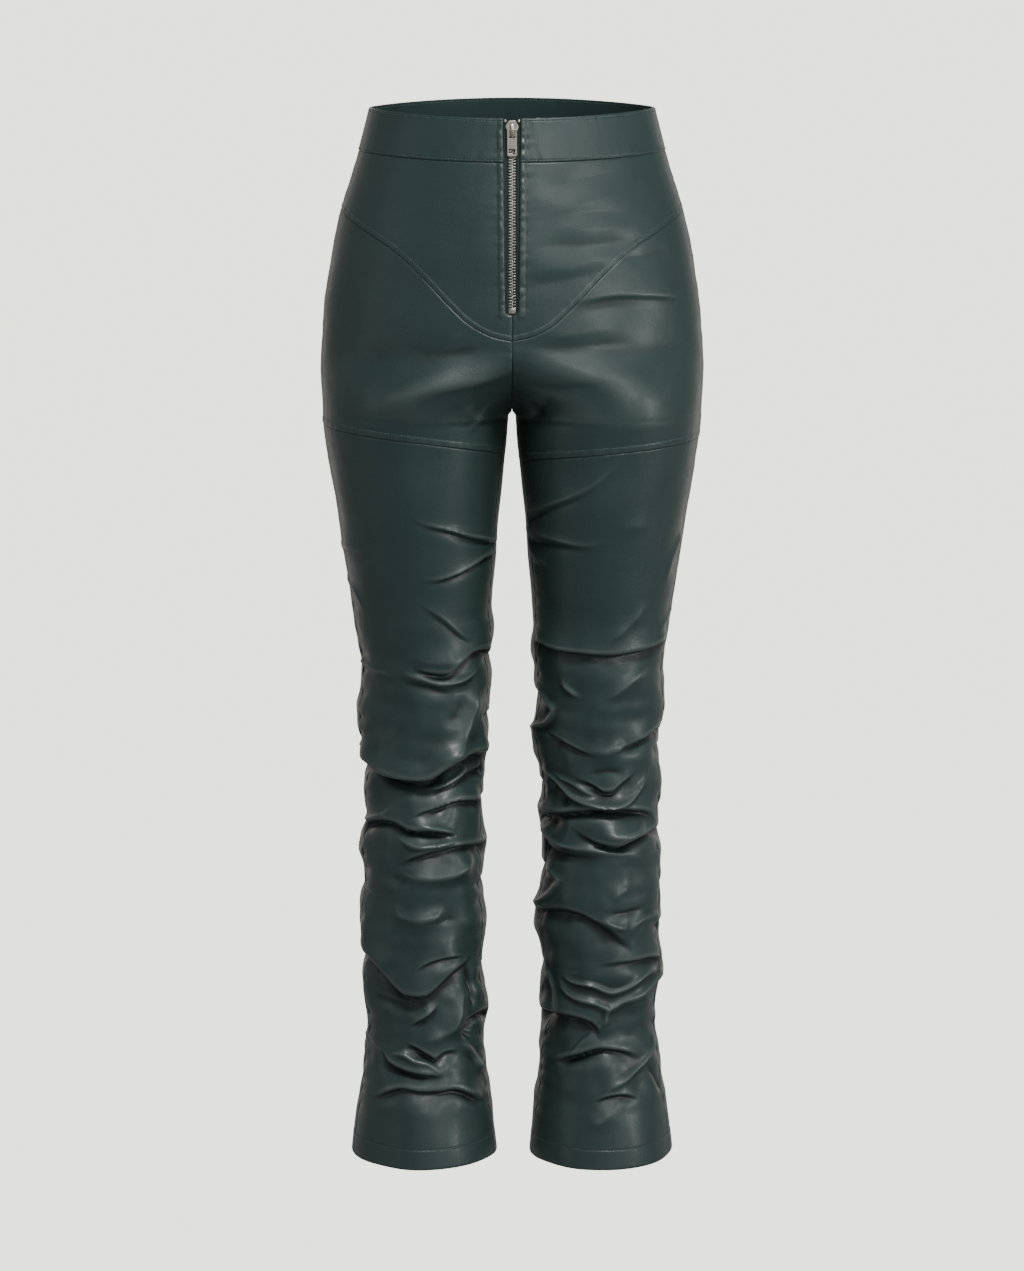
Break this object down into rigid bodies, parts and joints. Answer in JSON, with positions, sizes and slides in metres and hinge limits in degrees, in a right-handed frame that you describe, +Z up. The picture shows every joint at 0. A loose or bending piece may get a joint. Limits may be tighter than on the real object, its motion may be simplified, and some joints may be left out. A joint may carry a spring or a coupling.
{
  "type": "faux leather trousers",
  "caption": "High-waisted faux leather trousers, held open as worn, with an exposed front zip, a V-shaped hip yoke, slim thighs, stacked ruched lower legs and a slightly flared hem",
  "frame": {"origin": "centre of the waist opening, level with the top of the band at the side seams", "axes": "+Z up, -Y the way the wearer faces, +X to the wearer's left, which is the right of the picture"},
  "size_m": [0.3477, 0.2458, 0.9633],
  "materials": {
    "leather": "dark green polyurethane-coated faux leather with a fine grain and a soft satin sheen",
    "zip_tape": "dark green woven polyester tape",
    "zip_metal": "aged nickel-plated metal"
  },
  "bodies": {
    "root": {"waistband_front_right": "leather", "waistband_front_left": "leather", "waistband_back": "leather", "yoke_right": "leather", "yoke_left": "leather", "thigh_right": "leather", "thigh_left": "leather", "front_leg_right": "leather", "front_leg_left": "leather", "back_right": "leather", "back_left": "leather", "zip_tape_right": "zip_tape", "zip_tape_left": "zip_tape", "zip_chain": "zip_metal", "zip_slider": "zip_metal", "zip_top_stop_right": "zip_metal", "zip_top_stop_left": "zip_metal", "zip_bottom_stop": "zip_metal"},
    "pull_tab": {"zip_pull_tab": "zip_metal"}
  },
  "joints": [
    {"name": "pull_tab_swing", "type": "hinge", "parent": "root", "child": "pull_tab", "pos_m": [0, -0.09581, -0.01396], "axis": [-1, 0, 0], "range_deg": [0, 150]}
  ]
}
